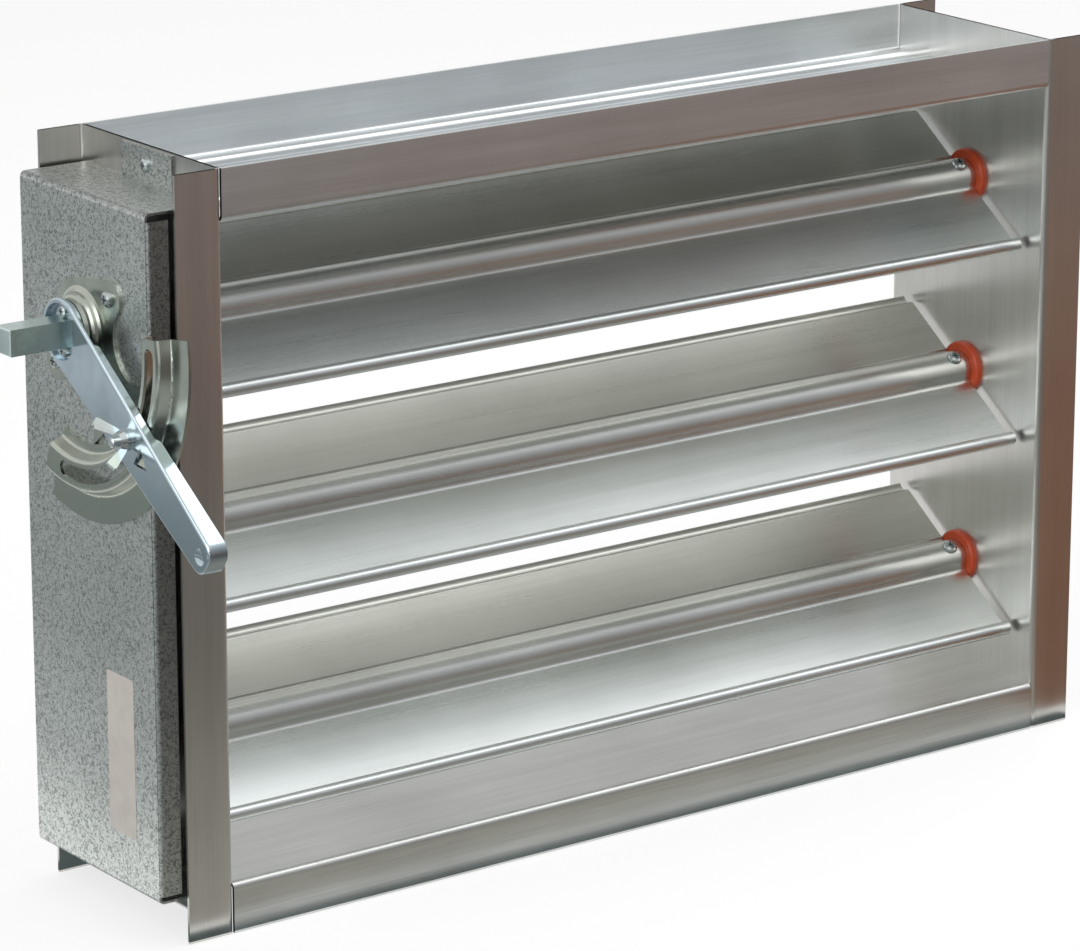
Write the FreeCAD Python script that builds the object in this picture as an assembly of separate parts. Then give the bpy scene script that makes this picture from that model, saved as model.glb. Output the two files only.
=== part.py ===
import FreeCAD, Part
import math
import os

# Manual control damper. Three parallel blades turn in a frame of folded channels. Cranks and a tie
# bar under the left-hand cover link them, and a hand lever sets them and locks on a quadrant.
# Millimetres. X runs across the airway, Y along it to the rear and Z up. The origin is the middle
# of the opening at mid depth, on the middle blade's axis. The blades are drawn part open.

Vec = FreeCAD.Vector
AXIS_X = Vec(1, 0, 0)
ORIGIN = Vec(0, 0, 0)

# Depth of a cut that passes right through the quadrant's parts
CUT = 20.0

# Frame
OPENING_WIDTH = 500.0
OPENING_HEIGHT = 320.0
DEPTH = 120.0
FLANGE = 25.0
SHEET = 1.5
BEND_RADIUS = 1.6
HALF_WIDTH = OPENING_WIDTH / 2
HALF_OPENING = OPENING_HEIGHT / 2
HALF_DEPTH = DEPTH / 2
HALF_HEIGHT = HALF_OPENING + FLANGE
WEB_OUTER = HALF_WIDTH + SHEET
PORT_Y = 35.5
PORT_RADIUS = 2.8
PORT_BORE = 1.5

# Blades
BLADE_PITCH = 104.0
REST_TILT = 35.0
BLADE_END = 246.5
PANEL_HALF = 0.8
HUB_RADIUS = 9.5
HUB_FILLET = 3.0
EDGE_CENTRE = 52.0
EDGE_RISE = 1.6
BEAD_RADIUS = 3.4
BEAD_BORE = 2.0
LIP_INNER = 4.0
LIP_OUTER = 5.3
LIP_TIP_ANGLE = 37.0
LIP_OVERLAP = 6.0
RIDGE_AT = 12.6
RIDGE_SIZE = 0.7

# Axles and bushes
AXLE_RADIUS = 6.0
RUNNING_GAP = 0.05
SQUARE = 12.7
SQUARE_GAP = 0.05
AXLE_INSERT = 45.0
SPINDLE_TIP = 331.5
BUSH_FLANGE_RADIUS = 14.0
BUSH_FLANGE = 3.2
BUSH_SLEEVE_RADIUS = 8.5
BUSH_BEYOND_WEB = 4.0
BUSH_EDGE = 0.8
AXLE_SHORT_OF_BUSH = 0.5
SQUARE_CHAMFER = 0.6
BLADE_SCREW_AT = 238.5

# Cranks and tie bar
CRANK_RADIUS = 30.0
CRANK_REST_ANGLE = -10.0
CRANK_HUB_RADIUS = 11.5
CRANK_HUB_INNER = 256.5
CRANK_HUB_OUTER = 266.5
CRANK_ARM = 4.0
CRANK_END_RADIUS = 7.0
PIN_RADIUS = 3.0
PIN_END = 273.5
TIE_BAR_INNER = 266.9
TIE_BAR_SHEET = 3.0
TIE_BAR_WIDTH = 15.0
TIE_BAR_OVERHANG = 10.0
OPEN_PIVOT_GAP = 0.2
CLIP_RADIUS = 5.5
CLIP_SHEET = 1.0
CLIP_GAP = 0.4

# Linkage cover
COVER_FACE = 288.0
COVER_SHEET = 1.2
COVER_HALF_DEPTH = 56.5
COVER_TOP = 168.0
COVER_BOTTOM = -164.0
COVER_LIP_END = 276.6
LIP_RELIEF = 4.0
HEAD_NOTCH_GAP = 0.6
TAB_HALF_WIDTH = 22.0
TAB_HEIGHT = 16.0
SPINDLE_HOLE = 9.8

# Quadrant plate, along and across its own middle line, with heights above the cover's face.
# FLANK joins the lobe to an ear, and COLLAR_FLARE is the collar's foot, as height and radius.
PLATE_SHEET = 1.5
PLATE_AXIS_ANGLE = 230.6
ARC_HALF_ANGLE = 58.6
ARC_INNER = 54.5
ARC_OUTER = 92.0
BAND_FOOT = (59.0, 79.0)
BAND_TOP = (62.0, 75.8)
BAND_HEIGHT = 8.0
SLOT_RADIUS = 68.7
SLOT_HALF_WIDTH = 3.6
SLOT_ANGLES = (178.6, 277.0)
EAR_CENTRE = (1.1, 30.8)
FLANK = [(-21.4, 10.9), (-12.6, 25.4), (-7.6, 33.4)]
WAIST_CENTRE = (28.8, 36.4)
WAIST_RADIUS = 19.0
LOBE_RADIUS = 24.0
COLLAR_FLARE = [(1.5, 20.0), (2.0, 18.6), (3.0, 17.4), (4.4, 16.9), (5.6, 16.1), (6.2, 14.9)]
COLLAR_TOP_RADIUS = 14.4
COLLAR_HEIGHT = 8.2
COLLAR_SHEET = 1.2

# Hand lever, with distances along it from the spindle and heights above the cover's face.
# LEVER_FOOT is the lower edge of its walls, as height and distance.
LEVER_ANGLE = 214.3
LEVER_FACE = 13.3
LEVER_SHEET = 1.6
LEVER_HEAD_RADIUS = 16.0
LEVER_LENGTH = 148.0
LEVER_TIP_HALF_WIDTH = 8.9
LEVER_TIP_CORNER = 7.0
LEVER_FOOT = [(9.6, 24.5), (8.6, 57.0), (8.6, 80.0), (6.3, 83.0), (3.2, 150.0)]
LEVER_BEND = 1.5
DISH_FLOOR = 10.3
DISH_FLOOR_RADIUS = 12.8
DISH_TOP_RADIUS = 13.6
DISH_OUTER = 14.3
DIMPLE_AT = 141.3
DIMPLE_RADIUS = 7.3
DIMPLE_DEPTH = 1.2
LEVER_HUB_RADIUS = 12.6
LEVER_HUB_FOOT = 2.0
CLAMP_SCREW_AT = 9.5
WINDOW = (79.0, 88.5, 5.4)

# Lock bolt and wing nut, whose wing has corners as height, reach and corner radius
BOLT_RADIUS = 2.5
BOLT_HEAD_FLATS = 8.0
BOLT_HEAD_HEIGHT = 3.5
BOLT_HEAD_GAP = 0.2
BOLT_TIP = 22.0
BOLT_CHAMFER = 0.6
BOLT_GAP = 0.1
WASHER_RADIUS = 5.2
WASHER_SHEET = 1.0
SPACER_RADIUS = 6.0
NUT_GAP = 0.1
NUT_BASE_RADIUS = 5.0
NUT_TOP_RADIUS = 4.0
NUT_HUB_HEIGHT = 4.0
NUT_RIM = 1.2
WING = [(2.1, 6.3, 1.0), (10.2, 13.4, 1.2), (13.7, 9.4, 1.2), (3.5, 3.6, 0)]
WING_SHEET = 2.0
WING_ANGLE = 52.0

# Screws, as shank radius, head radius and head height
SMALL_SCREW = (1.5, 3.4, 2.2)
PLATE_SCREW = (2.0, 3.9, 2.6)
CLAMP_SCREW = (1.75, 3.0, 2.2)
BLADE_SCREW_GRIP = 3.0


def in_yz(a, b):
    """A point of a section that is drawn across X."""
    return Vec(0, a, b)


def in_xz(a, b):
    """A point of a section that is drawn across Y."""
    return Vec(a, 0, b)


def in_xy(a, b):
    """A point of a section that is drawn across Z."""
    return Vec(a, b, 0)


def outline(corners, plane):
    """A face inside (a, b, radius) corners, where a radius above zero rounds its corner."""
    stops = []
    count = len(corners)
    for i in range(count):
        a, b, radius = corners[i]
        here = plane(a, b)
        if radius <= 0:
            stops.append((here, None, here))
            continue
        before = (plane(*corners[i - 1][:2]) - here).normalize()
        after = (plane(*corners[(i + 1) % count][:2]) - here).normalize()
        half = before.getAngle(after) / 2
        reach = radius / math.tan(half)
        inward = (before + after).normalize()
        middle = here + inward * (radius / math.sin(half) - radius)
        stops.append((here + before * reach, middle, here + after * reach))
    edges = []
    for i in range(count):
        start, middle, end = stops[i]
        if middle is not None:
            edges.append(Part.Arc(start, middle, end).toShape())
        following = stops[(i + 1) % count][0]
        if end.distanceToPoint(following) > 1e-6:
            edges.append(Part.LineSegment(end, following).toShape())
    return Part.Face(Part.Wire(edges))


def folded_strip(path, thickness, bend, plane):
    """The section of a folded sheet: the path is one face, and the other lies to its left."""
    points = [Vec(a, b, 0) for a, b in path]
    near = []
    far = []
    for i, here in enumerate(points):
        into = (here - points[i - 1]).normalize() if i > 0 else None
        out_of = (points[i + 1] - here).normalize() if i < len(points) - 1 else None
        first = into or out_of
        second = out_of or into
        left_first = Vec(-first.y, first.x, 0)
        left_second = Vec(-second.y, second.x, 0)
        spread = 1 + left_first.dot(left_second)
        offset = here + (left_first + left_second) * (thickness / spread)
        turn = first.cross(second).z
        near_radius = 0.0
        far_radius = 0.0
        if turn > 1e-6:
            near_radius, far_radius = bend + thickness, bend
        elif turn < -1e-6:
            near_radius, far_radius = bend, bend + thickness
        near.append((here.x, here.y, near_radius))
        far.append((offset.x, offset.y, far_radius))
    return outline(near + far[::-1], plane)


def cylinder_x(radius, x_from, x_to, y=0.0, z=0.0):
    """A round bar along X."""
    return Part.makeCylinder(radius, abs(x_to - x_from), Vec(min(x_from, x_to), y, z), AXIS_X)


def box(x_from, x_to, y_from, y_to, z_from, z_to):
    """A block between two corners."""
    size = (x_to - x_from, y_to - y_from, z_to - z_from)
    return Part.makeBox(*size, Vec(x_from, y_from, z_from))


def square_bar(side, x_from, x_to):
    """A square bar along X with its faces across Y and Z."""
    half = side / 2
    return box(min(x_from, x_to), max(x_from, x_to), -half, half, -half, half)


def mirrored_x(shape):
    """The same shape on the other side of the airway."""
    return shape.mirror(ORIGIN, AXIS_X)


def cone_ring(profile):
    """A solid of revolution round X from (x, radius) corners."""
    face = Part.Face(Part.makePolygon([Vec(x, r, 0) for x, r in profile + profile[:1]]))
    return face.revolve(ORIGIN, AXIS_X, 360)


def pan_screw(kind, length):
    """A cross recessed screw along X: its head is on the negative side and seats at X zero."""
    shank, head, height = kind
    profile = [(-height, 0), (-height, head * 0.6), (-height * 0.7, head * 0.9), (-height * 0.3, head)]
    profile += [(0, head), (0, shank), (length, shank), (length, 0)]
    screw = cone_ring(profile)
    arm = head * 0.5
    blade = head * 0.12
    floor = -height * 0.45
    screw = screw.cut(box(-height - 1, floor, -arm, arm, -blade, blade))
    return screw.cut(box(-height - 1, floor, -blade, blade, -arm, arm))


def turned(shape, angle):
    """The shape turned about the X axis."""
    copy = shape.copy()
    copy.rotate(ORIGIN, AXIS_X, angle)
    return copy


def moved(shape, x=0.0, y=0.0, z=0.0):
    """The shape moved."""
    copy = shape.copy()
    copy.translate(Vec(x, y, z))
    return copy


def one_solid(shape):
    """The only solid of a finished boolean."""
    solids = shape.removeSplitter().Solids
    if len(solids) != 1:
        raise ValueError("expected one solid, got %d" % len(solids))
    return solids[0]


# Frame

def axis_heights():
    """Heights of the three blade axes, by name."""
    return {"top": BLADE_PITCH, "middle": 0.0, "bottom": -BLADE_PITCH}


def port_height():
    """Height of the screw ports' centres above the middle axis."""
    return HALF_OPENING + PORT_RADIUS


def right_side_channel():
    """A full height channel, open outward, with holes for the bushes and the corner screws."""
    path = [(WEB_OUTER - SHEET + FLANGE, -HALF_DEPTH), (HALF_WIDTH, -HALF_DEPTH)]
    path += [(HALF_WIDTH, HALF_DEPTH), (WEB_OUTER - SHEET + FLANGE, HALF_DEPTH)]
    section = folded_strip(path[::-1], SHEET, BEND_RADIUS, in_xy)
    channel = section.extrude(Vec(0, 0, 2 * HALF_HEIGHT))
    channel.translate(Vec(0, 0, -HALF_HEIGHT))
    for z in axis_heights().values():
        channel = channel.cut(cylinder_x(BUSH_SLEEVE_RADIUS, HALF_WIDTH - 1, WEB_OUTER + 1, 0, z))
    for z in (-port_height(), port_height()):
        for y in (-PORT_Y, PORT_Y):
            channel = channel.cut(cylinder_x(PORT_BORE, HALF_WIDTH - 1, WEB_OUTER + 1, y, z))
    return one_solid(channel)


def left_side_channel():
    """The mirrored side channel, with holes for the cover's two tab screws."""
    channel = mirrored_x(right_side_channel())
    for z in tab_screw_heights():
        channel = channel.cut(cylinder_x(SMALL_SCREW[0], -WEB_OUTER - 1, -HALF_WIDTH + 1, 0, z))
    return one_solid(channel)


def top_channel():
    """The top channel, open upward, with two screw ports along its web."""
    path = [(-HALF_DEPTH, HALF_HEIGHT), (-HALF_DEPTH, HALF_OPENING)]
    path += [(HALF_DEPTH, HALF_OPENING), (HALF_DEPTH, HALF_HEIGHT)]
    section = folded_strip(path, SHEET, BEND_RADIUS, in_yz)
    channel = moved(section.extrude(Vec(OPENING_WIDTH, 0, 0)), -HALF_WIDTH)
    for y in (-PORT_Y, PORT_Y):
        channel = channel.fuse(cylinder_x(PORT_RADIUS, -HALF_WIDTH, HALF_WIDTH, y, port_height()))
    for y in (-PORT_Y, PORT_Y):
        channel = channel.cut(cylinder_x(PORT_BORE, -HALF_WIDTH, HALF_WIDTH, y, port_height()))
    return one_solid(channel)


def bottom_channel():
    """The same channel turned over."""
    return turned(top_channel(), 180)


def corner_screws():
    """Eight screws through the side webs into the ports."""
    screw = moved(pan_screw(SMALL_SCREW, 14), -WEB_OUTER)
    screws = []
    for z in (-port_height(), port_height()):
        for y in (-PORT_Y, PORT_Y):
            left = moved(screw, 0, y, z)
            screws += [left, mirrored_x(left)]
    return Part.makeCompound(screws)


def bush(side, name):
    """A plastic bush: its flange spaces the blade off the web and its sleeve fills the hole."""
    inner = HALF_WIDTH - BUSH_FLANGE
    outer = WEB_OUTER + BUSH_BEYOND_WEB
    profile = [(inner, AXLE_RADIUS + RUNNING_GAP), (inner, BUSH_FLANGE_RADIUS - BUSH_EDGE)]
    profile += [(inner + BUSH_EDGE, BUSH_FLANGE_RADIUS), (HALF_WIDTH, BUSH_FLANGE_RADIUS)]
    profile += [(HALF_WIDTH, BUSH_SLEEVE_RADIUS), (outer, BUSH_SLEEVE_RADIUS)]
    profile += [(outer, AXLE_RADIUS + RUNNING_GAP)]
    solid = moved(cone_ring(profile), 0, 0, axis_heights()[name])
    return mirrored_x(solid) if side == "left" else solid


# Blades, drawn flat in their own frame: chord along Y, the seen side up, axis on X

def hub_fillet():
    """The concave corner between the hub and the panel, on the rear upper side."""
    rise = PANEL_HALF + HUB_FILLET
    reach = math.sqrt((HUB_RADIUS + HUB_FILLET) ** 2 - rise ** 2)
    share = HUB_RADIUS / (HUB_RADIUS + HUB_FILLET)
    on_hub = in_yz(reach * share, rise * share)
    on_panel = in_yz(reach, PANEL_HALF)
    centre = in_yz(reach, rise)
    towards = ((on_hub + on_panel) * 0.5 - centre).normalize()
    corner = Part.Arc(on_hub, centre + towards * HUB_FILLET, on_panel).toShape()
    foot = in_yz(0, PANEL_HALF)
    wire = Part.Wire([corner, Part.makeLine(on_panel, foot), Part.makeLine(foot, on_hub)])
    return Part.Face(wire).extrude(Vec(2 * BLADE_END, 0, 0))


def lip():
    """The rear lip: a shallow hook below the panel, whose hollow takes the next blade's bead."""
    start = -math.degrees(math.acos((EDGE_RISE + PANEL_HALF) / LIP_OUTER)) - LIP_OVERLAP
    arcs = []
    for radius in (LIP_INNER, LIP_OUTER):
        arc = []
        for angle in (start, (start + LIP_TIP_ANGLE) / 2, LIP_TIP_ANGLE):
            turn = math.radians(angle)
            arc.append(in_yz(EDGE_CENTRE + radius * math.sin(turn), EDGE_RISE - radius * math.cos(turn)))
        arcs.append(arc)
    inner, outer = arcs
    edges = [Part.Arc(*inner).toShape(), Part.makeLine(inner[2], outer[2])]
    edges += [Part.Arc(*outer[::-1]).toShape(), Part.makeLine(outer[0], inner[0])]
    return Part.Face(Part.Wire(edges)).extrude(Vec(2 * BLADE_END, 0, 0))


def flat_blade():
    """The blade extrusion: panel, tubular hub, rear lip, hollow front bead and a fine ridge."""
    length = 2 * BLADE_END
    panel_end = EDGE_CENTRE - math.sqrt(LIP_OUTER ** 2 - (EDGE_RISE + PANEL_HALF) ** 2)
    blade = box(0, length, -EDGE_CENTRE, panel_end, -PANEL_HALF, PANEL_HALF)
    pieces = [cylinder_x(HUB_RADIUS, 0, length), lip()]
    pieces.append(cylinder_x(BEAD_RADIUS, 0, length, -EDGE_CENTRE, EDGE_RISE))
    pieces.append(box(0, length, RIDGE_AT, RIDGE_AT + RIDGE_SIZE, 0, PANEL_HALF + RIDGE_SIZE))
    corner = hub_fillet()
    for y_side in (1, -1):
        side = corner if y_side == 1 else corner.mirror(ORIGIN, Vec(0, 1, 0))
        pieces += [side, side.mirror(ORIGIN, Vec(0, 0, 1))]
    blade = blade.fuse(pieces).removeSplitter()
    blade = blade.cut(cylinder_x(AXLE_RADIUS + RUNNING_GAP, -1, length + 1))
    blade = blade.cut(cylinder_x(BEAD_BORE, -1, length + 1, -EDGE_CENTRE, EDGE_RISE))
    blade.translate(Vec(-BLADE_END, 0, 0))
    for x in (-BLADE_SCREW_AT, BLADE_SCREW_AT):
        seat = Part.makeCylinder(PLATE_SCREW[1] + 0.3, 3, Vec(x, 0, screw_seat()))
        hole = Part.makeCylinder(PLATE_SCREW[0], HUB_RADIUS, Vec(x, 0, 0))
        blade = blade.cut(seat).cut(hole)
    return one_solid(blade)


def screw_seat():
    """Height of the flat on the hub where a blade screw's head rests."""
    return HUB_RADIUS - 0.5


def blade(name):
    """One blade in the frame, at its drawn tilt."""
    return moved(turned(flat_blade(), REST_TILT), 0, 0, axis_heights()[name])


def blade_screws(name):
    """The two screws that hold a blade on its axles."""
    depth = screw_seat() - AXLE_RADIUS + BLADE_SCREW_GRIP
    screws = []
    for x in (-BLADE_SCREW_AT, BLADE_SCREW_AT):
        screw = pan_screw(PLATE_SCREW, depth)
        screw.rotate(ORIGIN, Vec(0, 1, 0), 90)
        screw.translate(Vec(x, 0, screw_seat()))
        screws.append(screw)
    return moved(turned(Part.makeCompound(screws), REST_TILT), 0, 0, axis_heights()[name])


def screw_pocket(x):
    """The blind hole for a blade screw in an axle, across the drawn tilt."""
    foot = Vec(x, 0, AXLE_RADIUS - BLADE_SCREW_GRIP)
    return turned(Part.makeCylinder(PLATE_SCREW[0], 2 * AXLE_RADIUS, foot), REST_TILT)


def left_axle(name):
    """A round journal with a square end; the top one is the drive spindle and passes the lever."""
    shoulder = -WEB_OUTER - BUSH_BEYOND_WEB - AXLE_SHORT_OF_BUSH
    end = -SPINDLE_TIP if name == "top" else -CRANK_HUB_OUTER
    axle = cylinder_x(AXLE_RADIUS, shoulder, -BLADE_END + AXLE_INSERT)
    axle = axle.fuse(square_bar(SQUARE, end + SQUARE_CHAMFER, shoulder))
    half = SQUARE / 2
    wires = []
    for x, side in ((end, half - SQUARE_CHAMFER), (end + SQUARE_CHAMFER, half)):
        ring = [Vec(x, -side, -side), Vec(x, side, -side), Vec(x, side, side), Vec(x, -side, side)]
        wires.append(Part.makePolygon(ring + ring[:1]))
    axle = axle.fuse(Part.makeLoft(wires, True))
    axle = axle.cut(screw_pocket(-BLADE_SCREW_AT))
    return moved(one_solid(axle), 0, 0, axis_heights()[name])


def right_axle(name):
    """A short round stub in the right-hand bush."""
    end = WEB_OUTER + BUSH_BEYOND_WEB - AXLE_SHORT_OF_BUSH
    axle = cylinder_x(AXLE_RADIUS, BLADE_END - AXLE_INSERT, end).cut(screw_pocket(BLADE_SCREW_AT))
    return moved(axle, 0, 0, axis_heights()[name])


# Linkage

def pin_offset():
    """The crank pin's place from its axle, as Y and Z."""
    angle = math.radians(CRANK_REST_ANGLE)
    return CRANK_RADIUS * math.cos(angle), CRANK_RADIUS * math.sin(angle)


def crank(name):
    """A hub with a square bore and a tapered arm."""
    hub = cylinder_x(CRANK_HUB_RADIUS, -CRANK_HUB_OUTER, -CRANK_HUB_INNER)
    taper = math.asin((CRANK_HUB_RADIUS - CRANK_END_RADIUS) / CRANK_RADIUS)
    sides = []
    for sign in (1, -1):
        y = math.sin(taper)
        z = sign * math.cos(taper)
        sides.append((in_yz(CRANK_HUB_RADIUS * y, CRANK_HUB_RADIUS * z),
                      in_yz(CRANK_RADIUS + CRANK_END_RADIUS * y, CRANK_END_RADIUS * z)))
    (a, b), (d, c) = sides
    arm = Part.Face(Part.makePolygon([a, b, c, d, a])).extrude(Vec(CRANK_ARM, 0, 0))
    arm = arm.fuse(cylinder_x(CRANK_END_RADIUS, 0, CRANK_ARM, CRANK_RADIUS))
    arm.translate(Vec(-CRANK_HUB_OUTER, 0, 0))
    solid = hub.fuse(arm)
    solid = solid.cut(cylinder_x(PIN_RADIUS, -CRANK_HUB_OUTER - 1, -CRANK_HUB_INNER, CRANK_RADIUS))
    solid = turned(solid, CRANK_REST_ANGLE)
    solid = solid.cut(square_bar(SQUARE + 2 * SQUARE_GAP, -CRANK_HUB_OUTER - 1, -CRANK_HUB_INNER + 1))
    return moved(one_solid(solid), 0, 0, axis_heights()[name])


def crank_pin(name):
    """The pin riveted in a crank's arm, standing out through the tie bar."""
    y, z = pin_offset()
    return cylinder_x(PIN_RADIUS, -PIN_END, -CRANK_HUB_OUTER + CRANK_ARM, y, z + axis_heights()[name])


def pin_clip(name):
    """The push-on ring that keeps the tie bar on a pin."""
    y, z = pin_offset()
    start = TIE_BAR_INNER + TIE_BAR_SHEET + CLIP_GAP
    ring = cylinder_x(CLIP_RADIUS, -start - CLIP_SHEET, -start)
    ring = ring.cut(cylinder_x(PIN_RADIUS, -start - 2, -start + 1))
    return moved(ring, 0, y, z + axis_heights()[name])


def tie_bar():
    """A flat bar with round ends that joins the three crank pins."""
    half = TIE_BAR_WIDTH / 2
    y, z = pin_offset()
    end = BLADE_PITCH + TIE_BAR_OVERHANG
    corners = [(-half, -end, half * 0.95), (half, -end, half * 0.95)]
    corners += [(half, end, half * 0.95), (-half, end, half * 0.95)]
    bar = outline(corners, in_yz).extrude(Vec(TIE_BAR_SHEET, 0, 0))
    for name, height in axis_heights().items():
        gap = RUNNING_GAP if name == "top" else OPEN_PIVOT_GAP
        bar = bar.cut(cylinder_x(PIN_RADIUS + gap, -1, TIE_BAR_SHEET + 1, 0, height))
    return moved(bar, -TIE_BAR_INNER - TIE_BAR_SHEET, y, z)


# Linkage cover

def tab_screw_heights():
    """Heights of the screws in the cover's two tabs."""
    return COVER_TOP + TAB_HEIGHT / 2, COVER_BOTTOM - TAB_HEIGHT / 2


def linkage_cover():
    """A folded cover: face and lips, top and bottom flanges, and a tab on each flange."""
    lips = [(-COVER_LIP_END, -COVER_HALF_DEPTH), (-COVER_FACE, -COVER_HALF_DEPTH)]
    lips += [(-COVER_FACE, COVER_HALF_DEPTH), (-COVER_LIP_END, COVER_HALF_DEPTH)]
    side = folded_strip(lips[::-1], COVER_SHEET, BEND_RADIUS, in_xy)
    side = side.extrude(Vec(0, 0, COVER_TOP - COVER_BOTTOM - 2 * LIP_RELIEF))
    side.translate(Vec(0, 0, COVER_BOTTOM + LIP_RELIEF))
    web = -WEB_OUTER
    ends = [(web, COVER_TOP), (-COVER_FACE, COVER_TOP)]
    ends += [(-COVER_FACE, COVER_BOTTOM), (web, COVER_BOTTOM)]
    width = 2 * (COVER_HALF_DEPTH - BEND_RADIUS)
    face = folded_strip(ends, COVER_SHEET, BEND_RADIUS, in_xz).extrude(Vec(0, width, 0))
    face.translate(Vec(0, -width / 2, 0))
    half = TAB_HALF_WIDTH
    upper = box(web - COVER_SHEET, web, -half, half, COVER_TOP - COVER_SHEET, COVER_TOP + TAB_HEIGHT)
    lower = box(web - COVER_SHEET, web, -half, half, COVER_BOTTOM - TAB_HEIGHT, COVER_BOTTOM + COVER_SHEET)
    cover = face.fuse([side, upper, lower])
    cover = cover.cut(cylinder_x(SPINDLE_HOLE, -COVER_FACE - 1, -COVER_FACE + 3, 0, BLADE_PITCH))
    for y, z in ear_places():
        cover = cover.cut(cylinder_x(PLATE_SCREW[0], -COVER_FACE - 1, -COVER_FACE + 3, y, z))
    for z in tab_screw_heights():
        cover = cover.cut(cylinder_x(SMALL_SCREW[0], web - 3, web + 1, 0, z))
    shank, head, height = SMALL_SCREW
    for y in (-PORT_Y, PORT_Y):
        reach = web - height - HEAD_NOTCH_GAP
        notch = cylinder_x(head + HEAD_NOTCH_GAP, reach, web + 1, y, -port_height())
        cover = cover.cut(notch)
    return one_solid(cover)


def cover_screws():
    """The screws in the cover's tabs."""
    screw = moved(pan_screw(SMALL_SCREW, 8), -WEB_OUTER - COVER_SHEET)
    return Part.makeCompound([moved(screw, 0, 0, z) for z in tab_screw_heights()])


# Quadrant plate. Its parts are drawn with heights along X and turned to face outward.

def on_cover(shape, angle):
    """Stands a shape, drawn with its height along X, on the cover's face round the spindle."""
    placed = shape.mirror(ORIGIN, AXIS_X)
    placed.rotate(ORIGIN, AXIS_X, angle)
    placed.translate(Vec(-COVER_FACE, 0, BLADE_PITCH))
    return placed


def ear_places():
    """The Y and Z of the two screws in the plate's ears."""
    angle = math.radians(PLATE_AXIS_ANGLE)
    places = []
    for side in (1, -1):
        p, q = EAR_CENTRE[0], EAR_CENTRE[1] * side
        y = p * math.cos(angle) - q * math.sin(angle)
        z = p * math.sin(angle) + q * math.cos(angle)
        places.append((y, BLADE_PITCH + z))
    return places


def plate_lobe():
    """The flat lobe round the spindle with its two ears and the waisted neck to the arc."""
    ear_y, ear_z = EAR_CENTRE
    waist_y, waist_z = WAIST_CENTRE
    ear_radius = math.hypot(waist_y - ear_y, waist_z - ear_z) - WAIST_RADIUS
    join = math.radians(33.0)
    foot = (ARC_INNER + 1.5) * math.cos(join), (ARC_INNER + 1.5) * math.sin(join)
    half = FLANK + [(ear_y, ear_z), (waist_y, waist_z), foot]
    ring = half + [(y, -z) for y, z in half[::-1]]
    polygon = Part.makePolygon([in_yz(y, z) for y, z in ring + ring[:1]])
    neck = Part.Face(polygon).extrude(Vec(PLATE_SHEET, 0, 0))
    rounds = [cylinder_x(LOBE_RADIUS, 0, PLATE_SHEET)]
    rounds += [cylinder_x(ear_radius, 0, PLATE_SHEET, ear_y, side * ear_z) for side in (1, -1)]
    lobe = neck.fuse(rounds)
    for side in (1, -1):
        lobe = lobe.cut(cylinder_x(WAIST_RADIUS, -1, PLATE_SHEET + 1, waist_y, side * waist_z))
        lobe = lobe.cut(cylinder_x(PLATE_SCREW[0], -1, PLATE_SHEET + 1, ear_y, side * ear_z))
    return lobe.cut(cylinder_x(COLLAR_FLARE[0][1], -1, PLATE_SHEET + 1))


def at_radius(radius, height):
    """A point of a section that is swept round X."""
    return Vec(height, radius, 0)


def raised_arc():
    """The arc's two flat rims and the raised band between them, rounded on the seen side."""
    rise = BAND_HEIGHT - PLATE_SHEET
    seen = [(ARC_OUTER, PLATE_SHEET, 0), (BAND_FOOT[1], PLATE_SHEET, BEND_RADIUS)]
    seen += [(BAND_TOP[1], BAND_HEIGHT, BEND_RADIUS + 1), (BAND_TOP[0], BAND_HEIGHT, BEND_RADIUS + 1)]
    seen += [(BAND_FOOT[0], PLATE_SHEET, BEND_RADIUS), (ARC_INNER, PLATE_SHEET, 0)]
    inner_shift = PLATE_SHEET * math.tan(math.atan2(rise, BAND_TOP[0] - BAND_FOOT[0]) / 2)
    outer_shift = PLATE_SHEET * math.tan(math.atan2(rise, BAND_FOOT[1] - BAND_TOP[1]) / 2)
    hidden = [(ARC_INNER, 0, 0), (BAND_FOOT[0] + inner_shift, 0, 0)]
    hidden += [(BAND_TOP[0] + inner_shift, rise, 0), (BAND_TOP[1] - outer_shift, rise, 0)]
    hidden += [(BAND_FOOT[1] - outer_shift, 0, 0), (ARC_OUTER, 0, 0)]
    section = outline(seen + hidden, at_radius)
    section.rotate(ORIGIN, AXIS_X, -ARC_HALF_ANGLE)
    return section.revolve(ORIGIN, AXIS_X, 2 * ARC_HALF_ANGLE)


def collar():
    """The collar drawn up round the spindle, with a flared foot and a rounded shoulder."""
    rim = COLLAR_FLARE[0][1]
    neck = COLLAR_TOP_RADIUS - COLLAR_SHEET
    profile = [(0, rim + 1), (PLATE_SHEET, rim + 1)] + COLLAR_FLARE
    profile += [(COLLAR_HEIGHT, COLLAR_TOP_RADIUS), (COLLAR_HEIGHT, neck)]
    profile += [(PLATE_SHEET, neck + COLLAR_SHEET), (0, neck + 2 * COLLAR_SHEET)]
    return cone_ring(profile)


def quadrant_plate():
    """A pressed plate: a lobe with a collar round the spindle and a raised, slotted arc."""
    plate = plate_lobe().fuse([raised_arc(), collar()]).removeSplitter()
    plate = on_cover(plate, PLATE_AXIS_ANGLE)
    return one_solid(plate.cut(slot_cutter()))


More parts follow.
